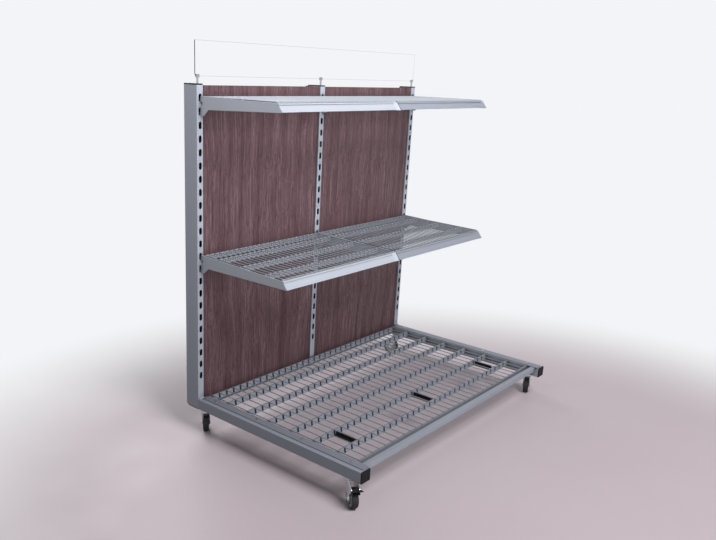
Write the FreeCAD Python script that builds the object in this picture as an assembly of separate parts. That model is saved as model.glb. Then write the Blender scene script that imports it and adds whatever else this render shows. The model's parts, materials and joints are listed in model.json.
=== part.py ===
import FreeCAD, Part
import math
import os

# Rolling display rack: three slotted uprights on two base arms with casters, a wire base deck,
# two rows of hanging wire shelves, wood-grain back panels and a clear sign along the top.
# Millimetres. +X is to the right of a person facing the rack, +Y is to its back, +Z is up.
# The pieces are drawn with the uprights' front faces on y = 0, and moved back at the end, so that
# the origin lies on the floor in the middle of the footprint.

# Whole rack
bay_pitch = 700.0               # from the centre of one upright to the next
caster_height = 110.0           # from the floor to the underside of the arms
cut_overrun = 1.0               # how far a cutting shape runs past the face that it opens
push_clearance = 0.2            # round plastic plugs in their tubes
running_clearance = 0.05        # round a shaft in its bore

# Uprights
upright_width = 30.0
upright_depth = 75.0
upright_wall = 2.0
upright_corner = 3.0            # radius of the tube's long edges
foot_radius = 22.0              # round rear corner at the foot
slot_count = 23
slot_pitch = 50.0
slot_height = 28.0
slot_width = 14.0
lowest_slot_rise = 102.0        # from the arm's top to the centre of the lowest slot
top_slot_drop = 45.0            # from the centre of the top slot to the upright's end

# Plugs and caps of the uprights
foot_plug_lip = 3.0
foot_plug_depth = 12.0
top_cap_lip = 5.0
top_cap_depth = 25.0

# Base arms
arm_width = 50.0
arm_height = 45.0
arm_wall = 2.0
arm_corner = 3.0
arm_reach = 845.0               # from the uprights' front faces to the face of the end cap
arm_end_plate = 3.0             # closes the arm where it meets the upright
arm_weld_leg = 8.0              # fillet weld between the arm's top and the upright
end_cap_lip = 4.0
end_cap_depth = 15.0

# Front rail and the rails behind the back panels
front_rail_size = 20.0
front_rail_wall = 1.5
front_rail_setback = 21.0       # behind the faces of the end caps
back_rail_wall = 1.5
bottom_rail_depth = 30.0
bottom_rail_height = 30.0
bottom_rail_inset = 5.0         # behind the uprights' front faces
top_rail_depth = 20.0
top_rail_height = 40.0
top_rail_drop = 10.0            # below the ends of the uprights

# Back panels and the clips over their top edges
panel_inset = 8.5               # behind the uprights' front faces
panel_thickness = 12.0
panel_side_gap = 1.0
panel_top_drop = 1.0
clip_length = 50.0
clip_thickness = 3.0
clip_front_lip = 2.0
clip_lip_drop = 4.0
clip_reach = 10.0               # onto the top rail, behind the panel
clip_end_gap = 15.0             # from the clip to the upright on its right

# Deck rails, which lie on the arms and carry the base deck
deck_rail_inset = 18.0          # from the arm's outer face
deck_rail_sheet = 3.0
deck_rail_ledge = 12.0
deck_rail_front_gap = 9.0       # from the bar's end to the face of the end cap
deck_rail_back_gap = 10.0       # from the uprights' front faces
deck_rail_screw_count = 4
deck_rail_screw_radius = 2.5
deck_rail_screw_length = 12.0
deck_rail_screw_end = 60.0      # from the first and last screw to the rail's ends
screw_head_radius = 5.0
screw_head_height = 2.5

# Base deck
deck_wire_radius = 2.0
deck_wires_each_side = 16       # on either side of the middle wire
deck_wire_end = 10.0            # from the last wire to the deck's end
deck_wire_rise = 3.0            # of the wires' tops above the strips
deck_end_gap = 1.0              # to the deck rails
deck_front_gap = 17.0           # to the front rail
deck_back_gap = 5.0             # to the uprights
deck_strip_height = 26.0
deck_strip_depth = 7.0
deck_strip_wall = 1.0
deck_strip_count = 6            # without the strip at the rear edge
deck_strip_start = 100.0        # from the deck's front edge to the first strip
deck_last_gap_share = 0.845     # of the strips' pitch, ahead of the strip at the rear edge
deck_front_bar_depth = 8.0
slit_width = 9.0
slit_lean = 5.0                 # how far a slit runs sideways from its top to its bottom
slit_margin = 2.0               # from a slit to the strip's edges

# Black pads under the wires of the base deck
pad_wire_count = 13             # wires from one pad to the next
pad_width = 38.0
pad_thickness = 4.0
pad_drop = 11.0                 # of the pad's top below the deck
pad_rib_width = 10.0
pad_front_gap = 15.0            # to the strip ahead of it
pad_rear_gap = 11.5             # to the strip behind it

# Hanging shelves
lower_shelf_slot_count = 10     # slots below that of the upper hook
upper_shelf_slot_count = 22
lower_shelf_reach = 438.0       # from the uprights' front faces to the top edge of the lip
upper_shelf_reach = 393.0
lower_shelf_bar_shares = (0.20, 0.50, 0.80)     # of the reach, where the inner cross bars lie
upper_shelf_bar_shares = (0.22, 0.56)
lower_shelf_slope_share = 0.022                 # of its depth, how far the shelf falls to the front
upper_shelf_slope_share = 0.0
shelf_top_rise = 6.0            # of the wires' tops above the centre of its upper slot
shelf_edge_drop = 7.0           # of the lip's top edge below the wires' tops
shelf_front_rake_share = 0.75   # of its height, how far the shelf's front leans forward
shelf_wire_radius = 2.5
shelf_wires_each_side = 13      # on either side of the middle wire
shelf_wire_end = 8.8            # from the last wire to the bracket
shelf_bar_height = 22.0
shelf_bar_depth = 4.0
shelf_bar_drop = 2.0            # of the bars' tops below the wires' tops
shelf_back_gap = 5.0
shelf_slit_width = 4.0
shelf_slit_height = 14.0

# Shelf brackets
bracket_sheet = 2.5
bracket_offset = 0.7            # from the upright's centre line to the bracket
bracket_rear_gap = 0.5          # from the bracket to the uprights' front faces
bracket_rear_depth = 48.0       # of its lower edge below the wires' tops, at the rear
bracket_front_depth = 37.0      # and at the front
bracket_flange = 30.0
tab_drop = 22.0                 # of the rear tab below the bracket's lower edge
tab_length = 20.0
tab_slope = 23.0
hook_neck = 10.0
hook_drop = 8.0
hook_sheet_gap = 0.4            # behind the upright's wall
hook_depth = 4.0
hook_notch = 12.0               # how far the rear edge is cut back between the hooks
hook_notch_height = 18.0

# Front lip of a shelf, with its ticket channel
lip_height = 28.0
lip_sheet = 1.5
lip_edge = 4.0                  # height of the rolled edges
lip_edge_stand = 2.0            # how far they stand out
lip_end_gap = 0.5               # to the brackets' flanges
lip_top_flange = 5.5

# Sign
sign_rise = 31.0                # above the ends of the uprights
sign_height = 126.0
sign_thickness = 4.0
sign_inset = 15.0               # of its middle plane behind the uprights' front faces
sign_end_gap = 3.0              # from its ends to the uprights' outer faces
sign_corner = 10.0
sign_stem_radius = 4.0
sign_clip_width = 14.0
sign_clip_wall = 2.0
sign_clip_height = 12.0
sign_clip_floor = 5.0

# Casters
wheel_radius = 37.5
tyre_width = 24.0
tyre_depth = 8.0
tyre_edge = 4.0
hub_length = 27.0
hub_boss_radius = 11.0
hub_rim_depth = 5.0
hub_web = 9.0
axle_radius = 4.0
axle_head_radius = 7.0
axle_head_height = 3.5
trail = 28.0                    # from the swivel axis to the axle
fork_sheet = 2.5
fork_side_gap = 0.5             # from the hub's boss to the fork
fork_eye_radius = 11.0
crown_radius = 21.0
crown_height = 6.0
cheek_back_share = 0.75         # of the crown's radius, behind the swivel axis
cheek_front_share = 0.95        # of the crown's radius, ahead of the swivel axis
race_radius = 20.0
race_height = 4.0
race_gap = 0.3                  # between the fork's crown and the fixed race and rivet head
king_pin_radius = 5.0
rivet_radius = 9.0
rivet_height = 4.0
stem_radius = 6.0
stem_length = 30.0
stem_clearance = 0.3
front_caster_setback = 65.0     # from the arm's front end to the swivel axis
rear_caster_setback = 18.0      # from the uprights' front faces to the swivel axis

# Directions in which the wheels trail, in degrees from +X towards +Y
front_left_heading = -122.0
front_right_heading = 22.0
rear_left_heading = 46.0
rear_right_heading = 110.0

# Brake pedals of the front casters
pedal_pin_radius = 3.0
pedal_pivot_run = 22.0          # from the axle to the pedal's pin
pedal_pivot_rise = 42.0
pedal_ear_radius = 7.0
pedal_hub_radius = 6.0
pedal_side_gap = 0.5
pedal_sheet = 3.5
pedal_neck = 10.0               # from the pin to where the upper paddle widens
pedal_width = 40.0
pedal_reach = 28.0              # of the upper paddle, from the pin
pedal_lift = 9.0
release_reach = 18.0            # of the lower paddle, from the pin
release_drop = 8.0
shoe_reach = 8.5                # of the brake shoe towards the tyre

# Heights and places that follow from the sizes above
arm_bottom = caster_height
arm_top = arm_bottom + arm_height
lowest_slot = arm_top + lowest_slot_rise
upright_bottom = arm_bottom + foot_plug_lip
upright_top = lowest_slot + slot_pitch * (slot_count - 1) + top_slot_drop
upright_places = (-bay_pitch, 0, bay_pitch)
rack_side = bay_pitch + upright_width / 2
arm_inside = rack_side - arm_width
front_rail_front = front_rail_setback - arm_reach
front_rail_back = front_rail_front + front_rail_size
deck_front = front_rail_back + deck_front_gap
deck_side = arm_inside - deck_rail_sheet - deck_end_gap
deck_wire_pitch = (deck_side - deck_wire_end) / deck_wires_each_side
shelf_half = bay_pitch / 2 - bracket_offset - bracket_sheet
shelf_wire_pitch = (shelf_half - shelf_wire_end) / shelf_wires_each_side
front_axis = front_caster_setback - arm_reach
caster_line = rack_side - arm_width / 2
plane_to_middle = (arm_reach - upright_depth) / 2
along_axis_share = 0.5          # least part of an edge's direction that counts as along an axis


def point(x, y, z):
    return FreeCAD.Vector(x, y, z)


def block(x_span, y_span, z_span):
    """A box between two values on each axis."""
    low = [min(span) for span in (x_span, y_span, z_span)]
    size = [max(span) - min(span) for span in (x_span, y_span, z_span)]
    return Part.makeBox(*size, point(*low))


def rounded_block(x_span, y_span, z_span, axis, radius):
    """A box whose edges along one axis are rounded."""
    box = block(x_span, y_span, z_span)
    along = [edge for edge in box.Edges if abs(edge.tangentAt(0).dot(axis)) > along_axis_share]
    return box.makeFillet(radius, along)


def inset(span, wall):
    return (min(span) + wall, max(span) - wall)


def overrun(span):
    return (min(span) - cut_overrun, max(span) + cut_overrun)


def prism(outline, direction):
    """A straight body from a closed outline of points."""
    edges = []
    for step, start in enumerate(outline):
        end = outline[(step + 1) % len(outline)]
        edges.append(Part.makeLine(start, end))
    return Part.Face(Part.Wire(edges)).extrude(direction)


def side_prism(outline, x_span):
    """A body with a side outline of (y, z) points, between two values of x."""
    points = [point(min(x_span), y, z) for y, z in outline]
    return prism(points, point(max(x_span) - min(x_span), 0, 0))


def round_bar(start, end, radius):
    direction = end - start
    return Part.makeCylinder(radius, direction.Length, start, direction)


def join(shapes):
    return shapes[0].multiFuse(shapes[1:])


def mirrored(shape):
    """The same shape on the other side of the rack's middle plane."""
    return shape.mirror(point(0, 0, 0), point(1, 0, 0))


def save(node, *shapes):
    whole = shapes[0] if len(shapes) == 1 else Part.makeCompound(list(shapes))
    whole = whole.copy()
    whole.translate(point(0, plane_to_middle, 0))
    whole.exportStep(f"parts/{node}.step")


# Uprights


def upright_side(place, bottom):
    """The space of an upright above a foot with a round rear corner."""
    low_rear = upright_depth - foot_radius
    corner = point(0, low_rear, bottom + foot_radius)
    diagonal = foot_radius * math.sqrt(0.5)
    middle = corner + point(0, diagonal, -diagonal)
    rear = point(0, upright_depth, bottom + foot_radius)
    foot = Part.Arc(point(0, low_rear, bottom), middle, rear).toShape()
    rest = [
        foot.Vertexes[1].Point,
        point(0, upright_depth, upright_top),
        point(0, 0, upright_top),
        point(0, 0, bottom),
        foot.Vertexes[0].Point,
    ]
    lines = [Part.makeLine(start, end) for start, end in zip(rest, rest[1:])]
    side = Part.Face(Part.Wire([foot] + lines))
    side.translate(point(place - upright_width / 2, 0, 0))
    return side.extrude(point(upright_width, 0, 0))


def slot(place, height):
    """An upright slot with round ends, through the front wall."""
    radius = slot_width / 2
    straight = slot_height / 2 - radius
    y_span = overrun((0, upright_wall))
    z_span = (height - straight, height + straight)
    middle = block((place - radius, place + radius), y_span, z_span)
    ends = [round_bar(point(place, y_span[0], z), point(place, y_span[1], z), radius) for z in z_span]
    return join([middle] + ends)


def upright_spans(place):
    return (place - upright_width / 2, place + upright_width / 2), (0, upright_depth)


def upright(place):
    x_span, y_span = upright_spans(place)
    z_span = (upright_bottom, upright_top)
    body = rounded_block(x_span, y_span, z_span, point(0, 0, 1), upright_corner)
    body = body.common(upright_side(place, upright_bottom))
    hollow = block(inset(x_span, upright_wall), inset(y_span, upright_wall), overrun(z_span))
    slots = [slot(place, lowest_slot + slot_pitch * step) for step in range(slot_count)]
    return body.cut(Part.makeCompound([hollow] + slots))


def foot_plug(place):
    """Black plug whose thin lip follows the round foot of the upright."""
    x_span, y_span = upright_spans(place)
    inner = upright_wall + push_clearance
    lip = rounded_block(x_span, y_span, (arm_bottom, upright_top), point(0, 0, 1), upright_corner)
    lip = lip.common(upright_side(place, arm_bottom))
    lip = lip.cut(upright_side(place, upright_bottom))
    core_z = (upright_bottom, upright_bottom + foot_plug_depth)
    core = block(inset(x_span, inner), inset(y_span, inner), core_z)
    core = core.common(upright_side(place, upright_bottom))
    return lip.fuse(core)


def top_cap(place):
    """Black cap of an upright, with the socket of a sign stem."""
    x_span, y_span = upright_spans(place)
    inner = upright_wall + push_clearance
    lip_z = (upright_top, upright_top + top_cap_lip)
    lip = rounded_block(x_span, y_span, lip_z, point(0, 0, 1), upright_corner)
    core = block(inset(x_span, inner), inset(y_span, inner), (upright_top - top_cap_depth, upright_top))
    socket = round_bar(
        point(place, sign_inset, upright_top - top_cap_depth - cut_overrun),
        point(place, sign_inset, upright_top + top_cap_lip + cut_overrun),
        sign_stem_radius + running_clearance,
    )
    return lip.fuse(core).cut(socket)


# Base arms


def caster_axes():
    """Swivel axes of the casters, as (x, y)."""
    return {
        "front_left": (-caster_line, front_axis),
        "front_right": (caster_line, front_axis),
        "rear_left": (-caster_line, -rear_caster_setback),
        "rear_right": (caster_line, -rear_caster_setback),
    }


def deck_screw_places():
    """Places of the deck rails' screws along the left rail, as (x, y)."""
    first = deck_rail_front_gap + deck_rail_screw_end - arm_reach
    last = -deck_rail_back_gap - deck_rail_screw_end
    step = (last - first) / (deck_rail_screw_count - 1)
    middle = -(rack_side - deck_rail_inset + arm_inside) / 2
    return [(middle, first + step * count) for count in range(deck_rail_screw_count)]


def left_arm():
    x_span = (-rack_side, -arm_inside)
    y_span = (end_cap_lip - arm_reach, 0)
    z_span = (arm_bottom, arm_top)
    body = rounded_block(x_span, y_span, z_span, point(0, 1, 0), arm_corner)
    hollow_y = (y_span[0] - cut_overrun, -arm_end_plate)
    cuts = [block(inset(x_span, arm_wall), hollow_y, inset(z_span, arm_wall))]
    for x, y in (caster_axes()["front_left"], caster_axes()["rear_left"]):
        start = point(x, y, arm_bottom - cut_overrun)
        end = point(x, y, arm_bottom + arm_wall + cut_overrun)
        cuts.append(round_bar(start, end, stem_radius + stem_clearance))
    for x, y in deck_screw_places():
        start = point(x, y, arm_top - arm_wall - cut_overrun)
        end = point(x, y, arm_top + cut_overrun)
        cuts.append(round_bar(start, end, deck_rail_screw_radius))
    weld = side_prism(
        [(0, arm_top), (-arm_weld_leg, arm_top), (0, arm_top + arm_weld_leg)],
        inset((-rack_side, upright_width - rack_side), upright_corner),
    )
    return body.cut(Part.makeCompound(cuts)).fuse(weld)


def left_end_cap():
    x_span = (-rack_side, -arm_inside)
    z_span = (arm_bottom, arm_top)
    inner = arm_wall + push_clearance
    seam = end_cap_lip - arm_reach
    lip = rounded_block(x_span, (-arm_reach, seam), z_span, point(0, 1, 0), arm_corner)
    core = block(inset(x_span, inner), (seam, seam + end_cap_depth), inset(z_span, inner))
    return lip.fuse(core)


# Rails across the rack


def cross_tube(x_span, y_span, z_span, wall):
    hollow = block(overrun(x_span), inset(y_span, wall), inset(z_span, wall))
    return block(x_span, y_span, z_span).cut(hollow)


def bay_span(side):
    """From upright to upright across the left (-1) or the right (1) bay."""
    return sorted((side * upright_width / 2, side * (bay_pitch - upright_width / 2)))


def front_rail():
    x_span = (-arm_inside, arm_inside)
    z_span = (arm_top - front_rail_size, arm_top)
    return cross_tube(x_span, (front_rail_front, front_rail_back), z_span, front_rail_wall)


def bottom_rail(side):
    y_span = (bottom_rail_inset, bottom_rail_inset + bottom_rail_depth)
    z_span = (arm_bottom, arm_bottom + bottom_rail_height)
    return cross_tube(bay_span(side), y_span, z_span, back_rail_wall)


def top_rail(side):
    front = panel_inset + panel_thickness
    top = upright_top - top_rail_drop
    z_span = (top - top_rail_height, top)
    return cross_tube(bay_span(side), (front, front + top_rail_depth), z_span, back_rail_wall)


# Back panels


def back_panel(side):
    y_span = (panel_inset, panel_inset + panel_thickness)
    z_span = (arm_bottom + bottom_rail_height, upright_top - panel_top_drop)
    return block(inset(bay_span(side), panel_side_gap), y_span, z_span)


def panel_clip(side):
    """Clip over the panel's top edge, standing on the top rail."""
    right = max(bay_span(side)) - clip_end_gap
    x_span = (right - clip_length, right)
    panel_top = upright_top - panel_top_drop
    panel_back = panel_inset + panel_thickness
    front = panel_inset - clip_front_lip
    back = panel_back + clip_reach
    plate = block(x_span, (front, back), (panel_top, panel_top + clip_thickness))
    lip = block(x_span, (front, panel_inset), (panel_top - clip_lip_drop, panel_top))
    foot = block(x_span, (panel_back, back), (upright_top - top_rail_drop, panel_top))
    return join([plate, lip, foot])


# Base deck


def left_deck_rail():
    """Flat bar on the arm, with a leg and a ledge down its inner side for the deck."""
    sheet = deck_rail_sheet
    ledge_top = arm_top - deck_strip_height
    z_span = (ledge_top - sheet, arm_top + sheet)
    back = -deck_rail_back_gap
    flat = block(
        (deck_rail_inset - rack_side, sheet - arm_inside),
        (deck_rail_front_gap - arm_reach, back),
        (arm_top, arm_top + sheet),
    )
    leg = block((-arm_inside, sheet - arm_inside), (deck_front, back), z_span)
    ledge_x = (-arm_inside, sheet - arm_inside + deck_rail_ledge)
    ledge = block(ledge_x, (deck_front, back), (z_span[0], ledge_top))
    low, high = overrun((arm_top, arm_top + sheet))
    holes = [
        round_bar(point(x, y, low), point(x, y, high), deck_rail_screw_radius)
        for x, y in deck_screw_places()
    ]
    return join([flat, leg, ledge]).cut(Part.makeCompound(holes))


def deck_rail_screw(x, y):
    seat = arm_top + deck_rail_sheet
    shank = round_bar(point(x, y, seat - deck_rail_screw_length), point(x, y, seat), deck_rail_screw_radius)
    head = round_bar(point(x, y, seat), point(x, y, seat + screw_head_height), screw_head_radius)
    return shank.fuse(head)


def deck_wire_places():
    steps = range(-deck_wires_each_side, deck_wires_each_side + 1)
    return [deck_wire_pitch * step for step in steps]


def deck_strip_places():
    """Front faces of the slotted strips, from the front to the rear."""
    first = deck_front + deck_strip_start
    last = -deck_back_gap - deck_strip_depth
    pitch = (last - first) / (deck_strip_count - 1 + deck_last_gap_share)
    return [first + pitch * step for step in range(deck_strip_count)] + [last]


def slotted_strip(front):
    """Thin hollow strip across the deck, with a leaning slit between every two wires."""
    x_span = (-deck_side, deck_side)
    y_span = (front, front + deck_strip_depth)
    z_span = (arm_top - deck_strip_height, arm_top)
    low, high = inset(z_span, slit_margin)
    wall = deck_strip_wall
    half = slit_width / 2
    channel = block(x_span, y_span, z_span)
    channel = channel.cut(block(overrun(x_span), inset(y_span, wall), inset(z_span, wall)))
    slit_front, slit_back = overrun((front, front + wall))
    slits = []
    for top in deck_wire_places()[:-1]:
        foot = top + slit_lean
        outline = [(top - half, high), (top + half, high), (foot + half, low), (foot - half, low)]
        points = [point(x, slit_front, z) for x, z in outline]
        slits.append(prism(points, point(0, slit_back - slit_front, 0)))
    return channel.cut(Part.makeCompound(slits))


def base_deck():
    """Grille of slotted strips and front-to-back wires, welded into one piece."""
    wire_height = arm_top + deck_wire_rise - deck_wire_radius
    strips = [slotted_strip(front) for front in deck_strip_places()]
    front_bar = block(
        (-deck_side, deck_side),
        (deck_front, deck_front + deck_front_bar_depth),
        (arm_top - deck_strip_height, arm_top),
    )
    wires = []
    for x in deck_wire_places():
        start = point(x, deck_front, wire_height)
        wires.append(round_bar(start, point(x, -deck_back_gap, wire_height), deck_wire_radius))
    return join([front_bar] + strips + wires)


def deck_pad(wire_step):
    """Black pad under a wire, with a rib that hugs the wire."""
    middle = deck_wire_pitch * wire_step
    first, second = deck_strip_places()[:2]
    wire_height = arm_top + deck_wire_rise - deck_wire_radius
    y_span = (first + deck_strip_depth + pad_front_gap, second - pad_rear_gap)
    top = arm_top - pad_drop
    plate = block((middle - pad_width / 2, middle + pad_width / 2), y_span, (top - pad_thickness, top))
    rib = block((middle - pad_rib_width / 2, middle + pad_rib_width / 2), y_span, (top, wire_height))
    start = point(middle, y_span[0] - cut_overrun, wire_height)
    end = point(middle, y_span[1] + cut_overrun, wire_height)
    groove = round_bar(start, end, deck_wire_radius + running_clearance)
    return plate.fuse(rib).cut(groove)


# Hanging shelves, drawn in a bay whose left upright is centred on x = 0, with the wires' tops on z = 0


def shelf_wire_places():
    steps = range(-shelf_wires_each_side, shelf_wires_each_side + 1)
    return [bay_pitch / 2 + shelf_wire_pitch * step for step in steps]


def front_line(reach, depth, behind):
    """Point (y, z) on the raked front, at a depth below the wires' tops and a distance behind the face."""
    lean = shelf_front_rake_share
    run = lean * (depth - shelf_edge_drop) - behind * math.hypot(1, lean)
    return (-reach - run, -depth)


def sloped(outline, slope_share):
    """The same (y, z) points on a shelf that falls to the front."""
    return [(y, z + y * slope_share) for y, z in outline]


def shelf_bar(y_front):
    """Bar across the shelf with an upright slit between every two wires."""
    z_span = (-shelf_bar_drop - shelf_bar_height, -shelf_bar_drop)
    y_span = (y_front, y_front + shelf_bar_depth)
    middle = sum(z_span) / 2
    slit_z = (middle - shelf_slit_height / 2, middle + shelf_slit_height / 2)
    gaps = []
    for wire in shelf_wire_places()[:-1]:
        x = wire + shelf_wire_pitch / 2
        slit_x = (x - shelf_slit_width / 2, x + shelf_slit_width / 2)
        gaps.append(block(slit_x, overrun(y_span), slit_z))
    x_span = (bay_pitch / 2 - shelf_half, bay_pitch / 2 + shelf_half)
    return block(x_span, y_span, z_span).cut(Part.makeCompound(gaps))


def shelf_deck(reach, bar_shares, slope_share):
    """Wires and cross bars of one shelf, welded into one piece."""
    front = lip_top_flange - reach
    back = -shelf_back_gap
    bars = [shelf_bar(front), shelf_bar(back - shelf_bar_depth)]
    bars += [shelf_bar(-reach * share) for share in bar_shares]
    wires = []
    for x in shelf_wire_places():
        start = point(x, front, -shelf_wire_radius)
        wires.append(round_bar(start, point(x, back, -shelf_wire_radius), shelf_wire_radius))
    deck = join(bars + wires)
    deck.rotate(point(0, 0, 0), point(1, 0, 0), math.degrees(math.atan(slope_share)))
    return deck


def hook_outline(slot_centre):
    """Hook through a slot and down behind the upright's wall, from its top round to its neck."""
    off_centre = bracket_offset + bracket_sheet
    radius = slot_width / 2
    slot_low = slot_centre - slot_height / 2 + radius - math.sqrt(radius ** 2 - off_centre ** 2)
    seat = slot_low + running_clearance
    inner = upright_wall + hook_sheet_gap
    return [
        (-bracket_rear_gap, seat + hook_neck),
        (inner + hook_depth, seat + hook_neck),
        (inner + hook_depth, seat - hook_drop),
        (inner, seat - hook_drop),
        (inner, seat),
        (-bracket_rear_gap, seat),
    ]


def left_bracket(reach, slope_share):
    """Side plate with two hooks, a rear tab and a raked front flange behind the lip."""
    rear = -bracket_rear_gap
    front_top = front_line(reach, shelf_edge_drop, lip_sheet)
    front_low = front_line(reach, bracket_front_depth, lip_sheet)
    tab_low = -bracket_rear_depth - tab_drop
    notch_top = -shelf_top_rise - slot_pitch / 2 + hook_notch_height / 2
    notch_low = notch_top - hook_notch_height
    outline = [(rear, 0)]
    outline += hook_outline(-shelf_top_rise)
    outline += [(rear, notch_top), (-hook_notch, notch_top), (-hook_notch, notch_low), (rear, notch_low)]
    outline += hook_outline(-shelf_top_rise - slot_pitch)
    outline += [
        (rear, tab_low),
        (-tab_length, tab_low),
        (-tab_length - tab_slope, -bracket_rear_depth),
        front_low,
        front_top,
    ]
    plate = side_prism(sloped(outline, slope_share), (bracket_offset, bracket_offset + bracket_sheet))
    behind = lip_sheet + bracket_sheet
    outline = [
        front_top,
        front_low,
        front_line(reach, bracket_front_depth, behind),
        front_line(reach, shelf_edge_drop, behind),
    ]
    flange = side_prism(sloped(outline, slope_share), (bracket_offset, bracket_offset + bracket_flange))
    return plate.fuse(flange)


def shelf_lip(reach, slope_share):
    """Raked front lip with a ticket channel between rolled edges; the right flange stays bare."""
    top = shelf_edge_drop
    low = shelf_edge_drop + lip_height
    outline = [
        front_line(reach, top, lip_sheet),
        front_line(reach, low, lip_sheet),
        front_line(reach, low, -lip_edge_stand),
        front_line(reach, low - lip_edge, -lip_edge_stand),
        front_line(reach, low - lip_edge, 0),
        front_line(reach, top + lip_edge, 0),
        front_line(reach, top + lip_edge, -lip_edge_stand),
        front_line(reach, top, -lip_edge_stand),
    ]
    left = bracket_offset
    right = bay_pitch - bracket_offset - bracket_flange - lip_end_gap
    face = side_prism(sloped(outline, slope_share), (left, right))
    back = lip_top_flange - reach
    outline = [(-reach, -top), (back, -top), (back, -top - lip_sheet), (-reach, -top - lip_sheet)]
    flange = side_prism(sloped(outline, slope_share), (left + bracket_flange + lip_end_gap, right))
    return face.fuse(flange)


def save_shelf(name, bay_left, slots_below, reach, bar_shares, slope_share):
    height = lowest_slot + slot_pitch * slots_below + shelf_top_rise
    left = left_bracket(reach, slope_share)
    right = left.mirror(point(bay_pitch / 2, 0, 0), point(1, 0, 0))
    pieces = {
        "deck": shelf_deck(reach, bar_shares, slope_share),
        "left_bracket": left,
        "right_bracket": right,
        "lip": shelf_lip(reach, slope_share),
    }
    for piece, shape in pieces.items():
        shape.translate(point(bay_left, 0, height))
        save(f"{name}_shelf_{piece}", shape)


# Sign


def sign_panel():
    side = rack_side - sign_end_gap
    low = upright_top + sign_rise
    y_span = (sign_inset - sign_thickness / 2, sign_inset + sign_thickness / 2)
    panel = block((-side, side), y_span, (low, low + sign_height))
    across_panel = [edge for edge in panel.Edges if edge.BoundBox.YLength > sign_thickness / 2]
    lower = [edge for edge in across_panel if edge.BoundBox.ZMax < low + sign_height / 2]
    return panel.makeFillet(sign_corner, lower)


def sign_stem(place):
    """Round stem with a clip at its top that holds the panel's lower edge."""
    low = upright_top + sign_rise
    clip_low = low - sign_clip_floor
    half = sign_thickness / 2
    outer = half + sign_clip_wall
    stem = round_bar(
        point(place, sign_inset, upright_top - top_cap_depth),
        point(place, sign_inset, clip_low),
        sign_stem_radius,
    )
    x_span = (place - sign_clip_width / 2, place + sign_clip_width / 2)
    clip_z = (clip_low, clip_low + sign_clip_height)
    clip = block(x_span, (sign_inset - outer, sign_inset + outer), clip_z)
    groove_z = (low, low + sign_clip_height)
    groove = block(overrun(x_span), (sign_inset - half, sign_inset + half), groove_z)
    return stem.fuse(clip.cut(groove))


# Casters, drawn with the swivel axis on Z and the wheel trailing towards +X

race_low = caster_height - race_height
crown_top = race_low - race_gap
crown_low = crown_top - crown_height
cheek_inside = hub_length / 2 + fork_side_gap
cheek_outside = cheek_inside + fork_sheet
pedal_x = trail + pedal_pivot_run
pedal_z = wheel_radius + pedal_pivot_rise


def across(x, z, half, radius):
    """A round bar across the caster."""
    return round_bar(point(x, -half, z), point(x, half, z), radius)


def cheeks(outline):
    """The same plate on both sides of the wheel, from (x, z) points."""
    sheet = point(0, fork_sheet, 0)
    return [prism([point(x, y, z) for x, z in outline], sheet) for y in (-cheek_outside, cheek_inside)]


def caster_fork(braked):
    crown = round_bar(point(0, 0, crown_low), point(0, 0, crown_top), crown_radius)
    sides = [
        (-crown_radius * cheek_back_share, crown_top),
        (crown_radius * cheek_front_share, crown_top),
        (trail + fork_eye_radius, wheel_radius),
        (trail - fork_eye_radius, wheel_radius),
    ]
    solid = [crown] + cheeks(sides)
    eye = across(trail, wheel_radius, cheek_outside, fork_eye_radius)
    if braked:
        ears = [
            (crown_radius * cheek_front_share, crown_low),
            (pedal_x, pedal_z + pedal_ear_radius),
            (pedal_x, pedal_z - pedal_ear_radius),
            (trail, wheel_radius + fork_eye_radius),
        ]
        solid += cheeks(ears)
        ear = across(pedal_x, pedal_z, cheek_outside, pedal_ear_radius)
        solid.append(ear.cut(across(pedal_x, pedal_z, cheek_inside, pedal_ear_radius + cut_overrun)))
        solid.append(across(pedal_x, pedal_z, cheek_outside, pedal_pin_radius))
    solid.append(eye.cut(across(trail, wheel_radius, cheek_inside, fork_eye_radius + cut_overrun)))
    bore = round_bar(
        point(0, 0, crown_low - cut_overrun),
        point(0, 0, crown_top + cut_overrun),
        king_pin_radius + running_clearance,
    )
    axle_hole = across(trail, wheel_radius, cheek_outside + cut_overrun, axle_radius + running_clearance)
    return join(solid).cut(Part.makeCompound([bore, axle_hole]))


def caster_axle():
    shaft = across(trail, wheel_radius, cheek_outside, axle_radius)
    heads = []
    for side in (-1, 1):
        start = point(trail, side * cheek_outside, wheel_radius)
        end = point(trail, side * (cheek_outside + axle_head_height), wheel_radius)
        heads.append(round_bar(start, end, axle_head_radius))
    return join([shaft] + heads)


def turned(outline):
    """A round body about the wheel's axle, from (radius, sideways) points."""
    points = [point(trail + radius, y, wheel_radius) for radius, y in outline]
    edges = [Part.makeLine(start, end) for start, end in zip(points, points[1:] + points[:1])]
    return Part.Face(Part.Wire(edges)).revolve(point(trail, 0, wheel_radius), point(0, 1, 0), 360)


def wheel_hub():
    bore = axle_radius + running_clearance
    rim = wheel_radius - tyre_depth
    half = tyre_width / 2
    boss = hub_length / 2
    web = hub_web / 2
    near = [
        (bore, boss),
        (hub_boss_radius, boss),
        (hub_boss_radius, web),
        (rim - hub_rim_depth, web),
        (rim - hub_rim_depth, half),
        (rim, half),
    ]
    far = [(radius, -y) for radius, y in reversed(near)]
    return turned(near + far)


def tyre():
    rim = wheel_radius - tyre_depth
    half = tyre_width / 2
    ring = turned([(rim, -half), (wheel_radius, -half), (wheel_radius, half), (rim, half)])
    rounds = [edge for edge in ring.Edges if isinstance(edge.Curve, Part.Circle)]
    outer = [edge for edge in rounds if edge.Curve.Radius > wheel_radius - tyre_depth / 2]
    return ring.makeFillet(tyre_edge, outer)


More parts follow.
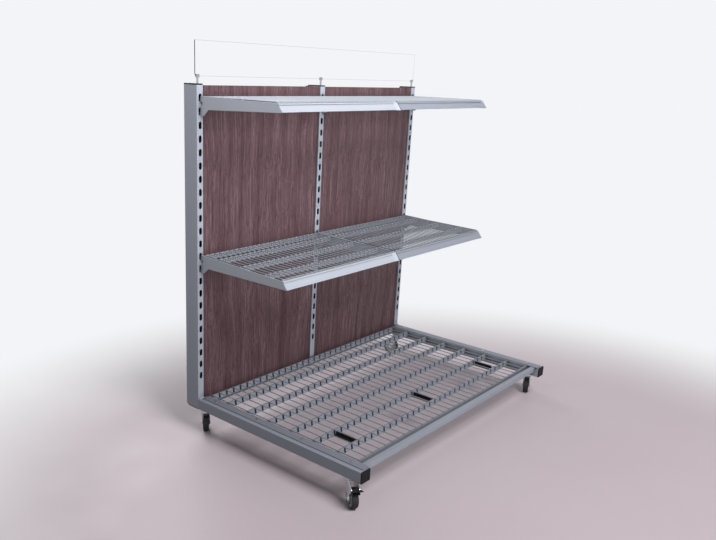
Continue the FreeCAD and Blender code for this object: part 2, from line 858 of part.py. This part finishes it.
def brake_pedal():
    """Rocker with a wide paddle, a narrower release paddle and a shoe over the tyre."""
    half = cheek_inside - pedal_side_gap
    hub = across(pedal_x, pedal_z, half, pedal_hub_radius)
    rise = pedal_sheet / 2

    def wedge(outline, half_width):
        points = [point(pedal_x + x, -half_width, pedal_z + z) for x, z in outline]
        return prism(points, point(0, 2 * half_width, 0))

    def paddle(start, end, slope, half_width):
        outline = [
            (start, slope * start - rise),
            (end, slope * end - rise),
            (end, slope * end + rise),
            (start, slope * start + rise),
        ]
        return wedge(outline, half_width)

    up = pedal_lift / pedal_reach
    down = -release_drop / release_reach
    to_axle = math.hypot(pedal_pivot_run, pedal_pivot_rise)
    shoe = (-pedal_pivot_run / to_axle * shoe_reach, -pedal_pivot_rise / to_axle * shoe_reach)
    solid = join([
        hub,
        paddle(0, pedal_neck, up, half),
        paddle(pedal_neck, pedal_reach, up, pedal_width / 2),
        paddle(0, release_reach, down, half),
        wedge([(-pedal_hub_radius, 0), shoe, (0, -pedal_hub_radius), (0, 0)], half),
    ])
    return solid.cut(across(pedal_x, pedal_z, half + cut_overrun, pedal_pin_radius + running_clearance))


def caster_stem():
    """Fixed race and threaded stem in the arm, with the king pin and its rivet head below."""
    pin_low = crown_low - race_gap
    stem = round_bar(point(0, 0, caster_height), point(0, 0, caster_height + stem_length), stem_radius)
    race = round_bar(point(0, 0, race_low), point(0, 0, caster_height), race_radius)
    pin = round_bar(point(0, 0, pin_low), point(0, 0, race_low), king_pin_radius)
    rivet = round_bar(point(0, 0, pin_low - rivet_height), point(0, 0, pin_low), rivet_radius)
    return join([race, stem, pin, rivet])


def placed(shape, axis_place, heading):
    """A caster piece turned to its heading and moved to its swivel axis."""
    x, y = axis_place
    result = shape.copy()
    result.rotate(point(0, 0, 0), point(0, 0, 1), heading)
    result.translate(point(x, y, 0))
    return result


def save_casters():
    headings = {
        "front_left": front_left_heading,
        "front_right": front_right_heading,
        "rear_left": rear_left_heading,
        "rear_right": rear_right_heading,
    }
    stems = []
    for corner, place in caster_axes().items():
        braked = corner.startswith("front")
        heading = headings[corner]
        pieces = {
            "caster_fork": caster_fork(braked),
            "caster_axle": caster_axle(),
            "wheel_hub": wheel_hub(),
            "tyre": tyre(),
        }
        if braked:
            pieces["brake_pedal"] = brake_pedal()
        for piece, shape in pieces.items():
            save(f"{corner}_{piece}", placed(shape, place, heading))
        stems.append(placed(caster_stem(), place, heading))
    save("caster_stems", *stems)


# The whole rack

os.makedirs("parts", exist_ok=True)

for name, place in zip(("left", "middle", "right"), upright_places):
    save(f"{name}_upright", upright(place))
save("upright_foot_plugs", *[foot_plug(place) for place in upright_places])
save("upright_top_caps", *[top_cap(place) for place in upright_places])

sides = {"base_arm": left_arm(), "arm_end_cap": left_end_cap(), "deck_rail": left_deck_rail()}
for piece, shape in sides.items():
    save(f"left_{piece}", shape)
    save(f"right_{piece}", mirrored(shape))

save("front_rail", front_rail())
for name, side in (("left", -1), ("right", 1)):
    save(f"{name}_bottom_rail", bottom_rail(side))
    save(f"{name}_top_rail", top_rail(side))
    save(f"{name}_back_panel", back_panel(side))
save("panel_clips", panel_clip(-1), panel_clip(1))

deck_screws = [deck_rail_screw(x, y) for x, y in deck_screw_places()]
save("deck_rail_screws", *deck_screws, *[mirrored(screw) for screw in deck_screws])
save("base_deck", base_deck())
save("deck_pads", *[deck_pad(step) for step in (-pad_wire_count, 0, pad_wire_count)])

shelf_rows = {
    "lower": (lower_shelf_slot_count, lower_shelf_reach, lower_shelf_bar_shares, lower_shelf_slope_share),
    "upper": (upper_shelf_slot_count, upper_shelf_reach, upper_shelf_bar_shares, upper_shelf_slope_share),
}
for row, sizes in shelf_rows.items():
    save_shelf(f"{row}_left", -bay_pitch, *sizes)
    save_shelf(f"{row}_right", 0, *sizes)

save("sign_panel", sign_panel())
save("sign_stems", *[sign_stem(place) for place in upright_places])
save_casters()
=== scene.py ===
import json
import math

import bpy
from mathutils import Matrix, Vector

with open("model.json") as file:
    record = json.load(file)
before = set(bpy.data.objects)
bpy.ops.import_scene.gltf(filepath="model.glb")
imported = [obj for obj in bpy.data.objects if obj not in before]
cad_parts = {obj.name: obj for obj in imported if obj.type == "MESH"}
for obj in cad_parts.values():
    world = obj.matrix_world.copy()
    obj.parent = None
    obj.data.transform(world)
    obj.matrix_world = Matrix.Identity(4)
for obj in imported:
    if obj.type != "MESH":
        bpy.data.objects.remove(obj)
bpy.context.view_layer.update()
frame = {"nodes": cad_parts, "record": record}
nodes = frame["nodes"]
print("frame loaded:", len(nodes), "pieces")


# Camera: solved from the slots, arm ends and upright tops seen in the photograph

view = {"place": (-2.6105, -1.8090, 1.4630), "turnDegrees": (73.183, -1.918, -48.108),
        "sensorMm": 36, "lensMm": 38.163, "shift": (0.0835, 0.0424)}
cameraData = bpy.data.cameras.new("camera")
cameraData.sensor_width = view["sensorMm"]
cameraData.lens = view["lensMm"]
cameraData.shift_x = view["shift"][0]
cameraData.shift_y = view["shift"][1]
camera = bpy.data.objects.new("camera", cameraData)
camera.location = view["place"]
camera.rotation_euler = [math.radians(turn) for turn in view["turnDegrees"]]
bpy.context.scene.collection.objects.link(camera)
bpy.context.scene.camera = camera
print("camera set")


# Node helpers

raySamples = 6  # for rounded edges and for dark gaps
fullEdgeTurn = 0.8  # cosine of the turn at which an edge counts in full
noiseSpread = {"From Min": 0.3, "From Max": 0.7}  # most of a noise texture lies between these


def linear(hexColour):
    parts = [int(hexColour[at:at + 2], 16) / 255 for at in (1, 3, 5)]
    return tuple(((v + 0.055) / 1.055) ** 2.4 if v > 0.04045 else v / 12.92 for v in parts) + (1.0,)


def metres(millimetres):
    return millimetres / 1000


def perMetre(millimetres):
    return 1000 / millimetres  # texture scale that gives features of this size


def addNode(tree, kind, inputs=None, output=0, **settings):
    made = tree.nodes.new(kind)
    for name, value in settings.items():
        setattr(made, name, value)
    for name, value in (inputs or {}).items():
        if isinstance(value, bpy.types.NodeSocket):
            tree.links.new(value, made.inputs[name])
        else:
            made.inputs[name].default_value = value
    return made.outputs[output] if made.outputs else made


def newMaterial(name):
    material = bpy.data.materials.new(name)
    material.use_nodes = True
    tree = material.node_tree
    tree.nodes.clear()
    return material, tree, addNode(tree, "ShaderNodeTexCoord", output="Object")


def finishMaterial(material, tree, shaderInputs):
    shader = addNode(tree, "ShaderNodeBsdfPrincipled", shaderInputs)
    addNode(tree, "ShaderNodeOutputMaterial", {"Surface": shader})
    return material


def softEdge(tree, millimetres):
    # Normal rounded over sharp edges, and a mask that is 1 on those edges
    rounded = addNode(tree, "ShaderNodeBevel", {"Radius": metres(millimetres)}, samples=raySamples)
    flat = addNode(tree, "ShaderNodeNewGeometry", output="Normal")
    turn = addNode(tree, "ShaderNodeVectorMath", {0: rounded, 1: flat}, "Value", operation="DOT_PRODUCT")
    mask = addNode(tree, "ShaderNodeMapRange", {"Value": turn, "From Min": 1.0, "From Max": fullEdgeTurn})
    return rounded, mask


# Powder-coated steel

steelCoat = {
    "cloudMm": 220, "cloudDetail": 4.0, "cloudy": {**noiseSpread, "To Max": 0.35},
    "speckMm": 5, "speckDetail": 3.0, "glossSwing": 0.06,
    "peelMm": 1.6, "peelDetail": 1.0, "peelDepthMm": 0.4, "peelBump": 0.12,
    # edges paler: partly rubbed wear, partly a painted highlight
    "edgeMm": 1.4, "rubbedHighlight": {"From Min": 0.35, "From Max": 0.65, "To Min": 0.2, "To Max": 0.75},
    # painted shade with dust: top faces darkened towards a dark grey
    "topDustAndShadeColour": "#53555c", "topShadeAndDust": {"From Min": 0.3, "From Max": 0.9},  # by how far a face looks up
    # painted shade: gaps and recesses darkened towards near black by how closed in they are
    "gapShadeColour": "#16171a", "gapShade": {"From Min": 0.2, "From Max": 0.92, "To Min": 1.0, "To Max": 0.0},
}

# Painted lit and shaded copies of the one coat. shadedGapMm is how wide a gap is still painted in shade,
# dusty the share of dust and painted shade on a top face
litAndShadedSteelTones = {
    # painted light: uprights get a lighter copy of the coat
    "upright": {"coat": "#aeb3c0", "wornHighlight": "#cbd0d9", "cloud": "#a2a7b4",
                "roughness": 0.45, "shadedGapMm": 45, "dusty": 0.0},
    "frame": {"coat": "#a0a5b2", "wornHighlight": "#c2c7d2", "cloud": "#9499a6",
              "roughness": 0.45, "shadedGapMm": 45, "dusty": 0.45},
    # painted shade: the base deck gets a darker copy of the coat
    "deck": {"coat": "#9ca1ad", "wornHighlight": "#c4c9d2", "cloud": "#9095a1",
             "roughness": 0.45, "shadedGapMm": 50, "dusty": 0.65},
    # painted light: brackets and upper shelf decks get a lighter copy of the coat
    "bracket": {"coat": "#b6bbc6", "wornHighlight": "#d2d6de", "cloud": "#aaafbb",
                "roughness": 0.42, "shadedGapMm": 45, "dusty": 0.0},
    "shelf": {"coat": "#acb1bc", "wornHighlight": "#d6dae0", "cloud": "#a0a5b0",
              "roughness": 0.42, "shadedGapMm": 26, "dusty": 0.85},
    "left_lip": {"coat": "#abb0bb", "wornHighlight": "#ccd0d8", "cloud": "#9fa4b0",
                 "roughness": 0.42, "shadedGapMm": 45, "dusty": 0.0},
    # painted shade: right lips and the right shelf's right bracket get a darker copy of the coat
    "right_lip_shaded": {"coat": "#888d99", "wornHighlight": "#b2b7c1", "cloud": "#7e838f",
                  "roughness": 0.42, "shadedGapMm": 45, "dusty": 0.0},
}


def powderCoatedSteel(name):
    # Baked polyester powder: an even satin grey with fine orange peel, paler along its edges, partly rubbed
    # wear and partly a painted highlight, with painted shade in its gaps, and dark dust with painted shade
    # on its top faces
    tone = litAndShadedSteelTones[name]
    material, tree, place = newMaterial("powder_coated_steel_" + name)
    noise = {}
    for layer in ("cloud", "speck", "peel"):
        noise[layer] = addNode(tree, "ShaderNodeTexNoise",
                               {"Vector": place, "Scale": perMetre(steelCoat[layer + "Mm"]),
                                "Detail": steelCoat[layer + "Detail"]})
    rounded, edge = softEdge(tree, steelCoat["edgeMm"])

    cloudy = addNode(tree, "ShaderNodeMapRange", {"Value": noise["cloud"], **steelCoat["cloudy"]})
    # paler edges: partly rubbed wear, partly a painted highlight
    rubbedHighlight = addNode(tree, "ShaderNodeMapRange", {"Value": noise["speck"], **steelCoat["rubbedHighlight"]})
    rubbedHighlight = addNode(tree, "ShaderNodeMath", {0: edge, 1: rubbedHighlight}, operation="MULTIPLY")
    normal = addNode(tree, "ShaderNodeNewGeometry", output="Normal")
    upward = addNode(tree, "ShaderNodeSeparateXYZ", {0: normal}, "Z")
    # dark dust and painted shade on faces that look up
    topShadeAndDust = addNode(tree, "ShaderNodeMapRange",
                      {"Value": upward, **steelCoat["topShadeAndDust"], "To Max": tone["dusty"]})
    # painted shade in gaps: darker where the surface is closed in
    openness = addNode(tree, "ShaderNodeAmbientOcclusion", {"Distance": metres(tone["shadedGapMm"])}, "AO",
                       samples=raySamples)
    gapShade = addNode(tree, "ShaderNodeMapRange", {"Value": openness, **steelCoat["gapShade"]})

    colour = linear(tone["coat"])
    for share, over in ((cloudy, tone["cloud"]), (rubbedHighlight, tone["wornHighlight"]),
                        (topShadeAndDust, steelCoat["topDustAndShadeColour"]), (gapShade, steelCoat["gapShadeColour"])):
        colour = addNode(tree, "ShaderNodeMix", {0: share, 6: colour, 7: linear(over)}, 2, data_type="RGBA")
    bump = addNode(tree, "ShaderNodeBump",
                   {"Height": noise["peel"], "Strength": steelCoat["peelBump"],
                    "Distance": metres(steelCoat["peelDepthMm"]), "Normal": rounded})
    gloss = addNode(tree, "ShaderNodeMapRange",
                    {"Value": noise["speck"], **noiseSpread,
                     "To Min": tone["roughness"] - steelCoat["glossSwing"],
                     "To Max": tone["roughness"] + steelCoat["glossSwing"]})
    return finishMaterial(material, tree, {"Base Color": colour, "Roughness": gloss, "Normal": bump})


# Walnut foil on board

woodLook = {
    "dark": "#3a272b", "middle": "#6c5257", "light": "#957a7f",
    "wanderMm": 454.5, "wanderDetail": 2.0, "wanderReachMm": 50, "grainRoughness": 0.6,
    # painted shade where the board meets the steel
    "cornerMm": 130, "cornerShade": {"From Min": 0.4, "From Max": 0.9, "To Min": 0.6, "To Max": 0.0},
    "poreBump": 0.12, "poreDepthMm": 0.3, "gloss": {"To Min": 0.42, "To Max": 0.56}, "specular": 0.16,
}

# Grain from broad to fine: width across it, length as a multiple of that, and noise turned into a share.
# Real pores are about 0.3 mm wide, and are drawn coarser so that they show
woodGrain = {
    "band": {"wideMm": 42, "stretch": 24, "detail": 3.0,
             "share": {**noiseSpread, "To Min": 0.0, "To Max": 1.0}},
    "streak": {"wideMm": 4.2, "stretch": 90, "detail": 4.0,
               "share": {**noiseSpread, "To Min": 0.85, "To Max": 0.05}},
    "pore": {"wideMm": 1.3, "stretch": 28, "detail": 1.0,
             "share": {"From Min": 0.55, "From Max": 0.66, "To Min": 0.0, "To Max": 0.75}},
}


def walnutLaminate(name):
    # Printed walnut foil, pressed with a fine pore: upright grain in soft bands, fine streaks and
    # short dark pores, and painted shade where it meets the steel
    material, tree, place = newMaterial(name)
    wander = addNode(tree, "ShaderNodeTexNoise",
                     {"Vector": place, "Scale": perMetre(woodLook["wanderMm"]),
                      "Detail": woodLook["wanderDetail"]}, "Color")
    reach = metres(woodLook["wanderReachMm"])
    bend = addNode(tree, "ShaderNodeVectorMath", {0: wander, 1: (reach, reach, 0.0)}, operation="MULTIPLY")
    place = addNode(tree, "ShaderNodeVectorMath", {0: place, 1: bend}, operation="ADD")
    noise = {}
    share = {}
    for kind, layer in woodGrain.items():
        scale = perMetre(layer["wideMm"])
        along = addNode(tree, "ShaderNodeMapping",
                        {"Vector": place, "Scale": (scale, scale, scale / layer["stretch"])})
        noise[kind] = addNode(tree, "ShaderNodeTexNoise",
                              {"Vector": along, "Scale": 1.0, "Detail": layer["detail"],
                               "Roughness": woodLook["grainRoughness"]})
        share[kind] = addNode(tree, "ShaderNodeMapRange", {"Value": noise[kind], **layer["share"]})
    # painted shade: darker near the frame and shelves, by how closed in the board is
    openness = addNode(tree, "ShaderNodeAmbientOcclusion", {"Distance": metres(woodLook["cornerMm"])}, "AO",
                       samples=raySamples)
    cornerShade = addNode(tree, "ShaderNodeMapRange", {"Value": openness, **woodLook["cornerShade"]})
    colour = addNode(tree, "ShaderNodeMix",
                     {0: share["band"], 6: linear(woodLook["middle"]), 7: linear(woodLook["light"])}, 2,
                     data_type="RGBA")
    for darker in (share["streak"], share["pore"], cornerShade):
        colour = addNode(tree, "ShaderNodeMix", {0: darker, 6: colour, 7: linear(woodLook["dark"])}, 2,
                         data_type="RGBA")
    bump = addNode(tree, "ShaderNodeBump",
                   {"Height": noise["pore"], "Strength": woodLook["poreBump"],
                    "Distance": metres(woodLook["poreDepthMm"])})
    gloss = addNode(tree, "ShaderNodeMapRange",
                    {"Value": noise["streak"], **noiseSpread, **woodLook["gloss"]})
    return finishMaterial(material, tree, {"Base Color": colour, "Roughness": gloss, "Normal": bump,
                                           "Specular IOR Level": woodLook["specular"]})


# Moulded plastic. Its real grain is about 0.1 mm, drawn coarser so that it shows

plasticLook = {
    "grainMm": 0.7, "grainDetail": 2.0, "grainBump": 0.2, "grainDepthMm": 0.2,
    "blotchMm": 14, "blotchDetail": 4.0, "glossSwing": 0.08, "specular": 0.2, "edgeMm": 1.0,
    "scuffed": {"From Min": 0.35, "From Max": 0.7, "To Min": 0.05, "To Max": 0.6}, "scuffAllOver": 0.04,
}
plasticTones = {
    "black": {"colour": "#0b0b0d", "scuff": "#343437", "roughness": 0.6},
    "grey": {"colour": "#c2c7cb", "scuff": "#e2e5e7", "roughness": 0.4},
}


def mouldedPlastic(name):
    # Injection-moulded polyamide: a fine spark-eroded grain, with paler scuffs along its edges
    tone = plasticTones[name]
    material, tree, place = newMaterial("moulded_" + name + "_polyamide")
    grain = addNode(tree, "ShaderNodeTexNoise",
                    {"Vector": place, "Scale": perMetre(plasticLook["grainMm"]),
                     "Detail": plasticLook["grainDetail"]})
    blotch = addNode(tree, "ShaderNodeTexNoise",
                     {"Vector": place, "Scale": perMetre(plasticLook["blotchMm"]),
                      "Detail": plasticLook["blotchDetail"]})
    rounded, edge = softEdge(tree, plasticLook["edgeMm"])
    scuffed = addNode(tree, "ShaderNodeMapRange", {"Value": blotch, **plasticLook["scuffed"]})
    scuffed = addNode(tree, "ShaderNodeMath", {0: edge, 1: scuffed, 2: plasticLook["scuffAllOver"]},
                      operation="MULTIPLY_ADD")
    colour = addNode(tree, "ShaderNodeMix",
                     {0: scuffed, 6: linear(tone["colour"]), 7: linear(tone["scuff"])}, 2, data_type="RGBA")
    bump = addNode(tree, "ShaderNodeBump",
                   {"Height": grain, "Strength": plasticLook["grainBump"],
                    "Distance": metres(plasticLook["grainDepthMm"]), "Normal": rounded})
    gloss = addNode(tree, "ShaderNodeMapRange",
                    {"Value": blotch, **noiseSpread,
                     "To Min": tone["roughness"] - plasticLook["glossSwing"],
                     "To Max": tone["roughness"] + plasticLook["glossSwing"]})
    return finishMaterial(material, tree, {"Base Color": colour, "Roughness": gloss, "Normal": bump,
                                           "Specular IOR Level": plasticLook["specular"]})


# Tyre rubber. Its real grain is about 0.1 mm, drawn coarser so that it shows

rubberLook = {
    "clean": "#131315", "dusty": "#45433f", "dustMm": 9, "dustDetail": 5.0,
    "dustShare": {"From Min": 0.45, "From Max": 0.75, "To Max": 0.5},
    "gloss": {"To Min": 0.6, "To Max": 0.85},
    "grainMm": 0.6, "grainDetail": 1.0, "grainBump": 0.25, "grainDepthMm": 0.2,
}


def treadRubber(name):
    # Moulded thermoplastic rubber: near black and dull, greyed by floor dust
    material, tree, place = newMaterial(name)
    dust = addNode(tree, "ShaderNodeTexNoise",
                   {"Vector": place, "Scale": perMetre(rubberLook["dustMm"]),
                    "Detail": rubberLook["dustDetail"]})
    grain = addNode(tree, "ShaderNodeTexNoise",
                    {"Vector": place, "Scale": perMetre(rubberLook["grainMm"]),
                     "Detail": rubberLook["grainDetail"]})
    dusty = addNode(tree, "ShaderNodeMapRange", {"Value": dust, **rubberLook["dustShare"]})
    colour = addNode(tree, "ShaderNodeMix",
                     {0: dusty, 6: linear(rubberLook["clean"]), 7: linear(rubberLook["dusty"])}, 2,
                     data_type="RGBA")
    bump = addNode(tree, "ShaderNodeBump",
                   {"Height": grain, "Strength": rubberLook["grainBump"],
                    "Distance": metres(rubberLook["grainDepthMm"])})
    gloss = addNode(tree, "ShaderNodeMapRange", {"Value": dust, **noiseSpread, **rubberLook["gloss"]})
    return finishMaterial(material, tree, {"Base Color": colour, "Roughness": gloss, "Normal": bump})


# Bright and zinc-plated steel. The real grain is under 0.1 mm, drawn coarser so that it shows

metalLook = {
    "cloudMm": 12, "cloudDetail": 4.0, "stained": {"From Min": 0.35, "From Max": 0.7, "To Max": 0.6},
    "grainMm": 0.8, "grainDetail": 2.0, "grainBump": 0.1, "grainDepthMm": 0.2,
    "edgeMm": 0.8, "glossBelow": 0.08, "glossAbove": 0.1,
}
metalTones = {
    "turned_bright_steel": {"colour": "#b9bbbd", "stain": "#9a9c9e", "roughness": 0.28},
    "zinc_plated_pressed_steel": {"colour": "#dadce0", "stain": "#b9bbbf", "roughness": 0.38},
}


def brightMetal(name):
    # Turned steel, or pressed steel with zinc plating: bright, cloudy metal with a fine grain and soft edges
    tone = metalTones[name]
    material, tree, place = newMaterial(name)
    cloud = addNode(tree, "ShaderNodeTexNoise",
                    {"Vector": place, "Scale": perMetre(metalLook["cloudMm"]),
                     "Detail": metalLook["cloudDetail"]})
    grain = addNode(tree, "ShaderNodeTexNoise",
                    {"Vector": place, "Scale": perMetre(metalLook["grainMm"]),
                     "Detail": metalLook["grainDetail"]})
    rounded = softEdge(tree, metalLook["edgeMm"])[0]
    stained = addNode(tree, "ShaderNodeMapRange", {"Value": cloud, **metalLook["stained"]})
    colour = addNode(tree, "ShaderNodeMix",
                     {0: stained, 6: linear(tone["colour"]), 7: linear(tone["stain"])}, 2, data_type="RGBA")
    bump = addNode(tree, "ShaderNodeBump",
                   {"Height": grain, "Strength": metalLook["grainBump"],
                    "Distance": metres(metalLook["grainDepthMm"]), "Normal": rounded})
    gloss = addNode(tree, "ShaderNodeMapRange",
                    {"Value": cloud, **noiseSpread,
                     "To Min": tone["roughness"] - metalLook["glossBelow"],
                     "To Max": tone["roughness"] + metalLook["glossAbove"]})
    return finishMaterial(material, tree, {"Base Color": colour, "Metallic": 1.0, "Roughness": gloss,
                                           "Normal": bump})


# Clear acrylic

acrylicLook = {
    "colour": "#ffffff", "edge": "#8f979e", "edgeMm": 3.0, "ior": 1.49,
    "smearMm": 60, "smearDetail": 5.0, "gloss": {"From Min": 0.45, "From Max": 0.75, "To Max": 0.06},
}


def castAcrylic(name):
    # Clear cast acrylic sheet, sawn to size: almost colourless, greyer at its sawn edges,
    # with hand marks in its gloss
    material, tree, place = newMaterial(name)
    edge = softEdge(tree, acrylicLook["edgeMm"])[1]
    colour = addNode(tree, "ShaderNodeMix",
                     {0: edge, 6: linear(acrylicLook["colour"]), 7: linear(acrylicLook["edge"])}, 2,
                     data_type="RGBA")
    smear = addNode(tree, "ShaderNodeTexNoise",
                    {"Vector": place, "Scale": perMetre(acrylicLook["smearMm"]),
                     "Detail": acrylicLook["smearDetail"]})
    gloss = addNode(tree, "ShaderNodeMapRange", {"Value": smear, **acrylicLook["gloss"]})
    return finishMaterial(material, tree, {"Base Color": colour, "Roughness": gloss,
                                           "IOR": acrylicLook["ior"], "Transmission Weight": 1.0})


# Materials by slot, and by the end of their name the pieces given a painted lit copy of the coat (uprights,
# brackets, upper decks) and a painted shaded copy (right lips, right shelf's right bracket)

slotMaterials = {
    "upright": powderCoatedSteel("upright"),
    "frame_steel": powderCoatedSteel("frame"),
    "deck_steel": powderCoatedSteel("deck"),
    "bracket": powderCoatedSteel("bracket"),
    "shelf_steel": powderCoatedSteel("shelf"),
    "lip_steel": powderCoatedSteel("left_lip"),
    "right_lip_shaded": powderCoatedSteel("right_lip_shaded"),
    "wood_board": walnutLaminate("walnut_foil_laminate"),
    "black_plastic": mouldedPlastic("black"),
    "hub_plastic": mouldedPlastic("grey"),
    "clear_sheet": castAcrylic("cast_clear_acrylic"),
    "bright_steel": brightMetal("turned_bright_steel"),
    "zinc_steel": brightMetal("zinc_plated_pressed_steel"),
    "tyre_rubber": treadRubber("moulded_tyre_rubber"),
}
# node endings mapped to the painted lit and shaded copies of the coat
litAndShadedTone = {
    "upright": "upright", "bracket": "bracket",
    "right_shelf_right_bracket": "right_lip_shaded", "right_shelf_lip": "right_lip_shaded",
    "upper_left_shelf_deck": "bracket", "upper_right_shelf_deck": "bracket",
}

for entry in frame["record"]["subparts"]:
    slot = entry["material_slot"]
    for ending, tone in litAndShadedTone.items():
        slot = tone if entry["node"].endswith(ending) else slot
    nodes[entry["node"]].data.materials.clear()
    nodes[entry["node"]].data.materials.append(slotMaterials[slot])
print("materials set:", len(slotMaterials))


# Stage: a round pale floor that fades into a white room

stageLook = {
    "room": "#f3f4f7", "roomSeen": 1.0, "roomLight": 0.09,  # the room as it is seen, and as it lights
    "floor": "#b8acb2", "floorBounce": "#3f3c3c", "radius": 12.0, "sides": 64,
    "middle": (-0.3, -0.7, 0.0), "fadeFrom": 1.3, "fadeTo": 2.5,
    "mottleMm": 400, "mottleDetail": 3.0, "gloss": {"To Min": 0.5, "To Max": 0.65},
}


def seenDirectly(tree):
    # 1 for the rays that show the room itself: straight, mirrored in gloss or through the clear sheet
    seen = addNode(tree, "ShaderNodeLightPath", output="Is Camera Ray")
    for ray in ("Is Glossy Ray", "Is Transmission Ray"):
        other = addNode(tree, "ShaderNodeLightPath", output=ray)
        seen = addNode(tree, "ShaderNodeMath", {0: seen, 1: other}, operation="MAXIMUM")
    return seen


def paintedFloor(name):
    # Matt studio paint, seen pale and fading to the room's white, while it throws less light back up
    material, tree, place = newMaterial(name)
    away = addNode(tree, "ShaderNodeVectorMath", {0: place, 1: stageLook["middle"]}, "Value",
                   operation="DISTANCE")
    fade = addNode(tree, "ShaderNodeMapRange",
                   {"Value": away, "From Min": stageLook["fadeFrom"], "From Max": stageLook["fadeTo"]},
                   interpolation_type="SMOOTHSTEP")
    seen = seenDirectly(tree)
    fade = addNode(tree, "ShaderNodeMath", {0: fade, 1: seen}, operation="MULTIPLY")
    colour = addNode(tree, "ShaderNodeMix",
                     {0: seen, 6: linear(stageLook["floorBounce"]), 7: linear(stageLook["floor"])}, 2,
                     data_type="RGBA")
    mottle = addNode(tree, "ShaderNodeTexNoise",
                     {"Vector": place, "Scale": perMetre(stageLook["mottleMm"]),
                      "Detail": stageLook["mottleDetail"]})
    gloss = addNode(tree, "ShaderNodeMapRange", {"Value": mottle, **noiseSpread, **stageLook["gloss"]})
    paint = addNode(tree, "ShaderNodeBsdfPrincipled", {"Base Color": colour, "Roughness": gloss})
    glow = addNode(tree, "ShaderNodeEmission",
                   {"Color": linear(stageLook["room"]), "Strength": stageLook["roomSeen"]})
    mixed = addNode(tree, "ShaderNodeMixShader", {0: fade, 1: paint, 2: glow})
    addNode(tree, "ShaderNodeOutputMaterial", {"Surface": mixed})
    return material


def roundFloor():
    radius = stageLook["radius"]
    turns = [2 * math.pi * step / stageLook["sides"] for step in range(stageLook["sides"])]
    rim = [(radius * math.cos(turn), radius * math.sin(turn), 0.0) for turn in turns]
    mesh = bpy.data.meshes.new("floor")
    mesh.from_pydata(rim, [], [range(len(rim))])
    mesh.materials.append(paintedFloor("painted_studio_floor"))
    floor = bpy.data.objects.new("floor", mesh)
    bpy.context.scene.collection.objects.link(floor)


roundFloor()
print("floor set")


# Lights: a broad soft key high in front, a narrow one on the upper half, a weak fill on the left,
# a soft one behind, and even room light

lightLook = [
    {"name": "key", "place": (-0.8, -2.9, 3.7), "target": (0.0, 0.0, 0.7),
     "size": 2.2, "spread": 180, "watts": 222, "mirrored": True},
    # mirrored, the narrow one would be a hard white patch in the clear sheet
    {"name": "front", "place": (0.4, -3.4, 1.7), "target": (0.0, 0.4, 1.4),
     "size": 1.2, "spread": 30, "watts": 2, "mirrored": False},
    {"name": "fill", "place": (-1.9, -0.2, 2.2), "target": (-0.3, 0.1, 1.3),
     "size": 0.8, "spread": 90, "watts": 3.6, "mirrored": True},
    {"name": "rear", "place": (0.7, 3.3, 2.7), "target": (0.0, 0.2, 0.9),
     "size": 2.0, "spread": 180, "watts": 75, "mirrored": True},
]

for look in lightLook:
    data = bpy.data.lights.new(look["name"], "AREA")
    data.energy = look["watts"]
    data.size = look["size"]
    data.spread = math.radians(look["spread"])
    lamp = bpy.data.objects.new(look["name"], data)
    lamp.location = look["place"]
    lamp.visible_transmission = False  # no lamp shows through the clear sheet
    lamp.visible_glossy = look["mirrored"]
    aim = Vector(look["target"]) - Vector(look["place"])
    lamp.rotation_euler = aim.to_track_quat("-Z", "Y").to_euler()
    bpy.context.scene.collection.objects.link(lamp)

world = bpy.data.worlds.new("studio")
world.use_nodes = True
worldTree = world.node_tree
worldTree.nodes.clear()
strength = addNode(worldTree, "ShaderNodeMapRange",
                   {"Value": seenDirectly(worldTree),
                    "To Min": stageLook["roomLight"], "To Max": stageLook["roomSeen"]})
room = addNode(worldTree, "ShaderNodeBackground",
               {"Color": linear(stageLook["room"]), "Strength": strength})
addNode(worldTree, "ShaderNodeOutputWorld", {"Surface": room})
bpy.context.scene.world = world
bpy.context.scene.view_settings.view_transform = "Standard"
print("lights and room set:", len(lightLook))
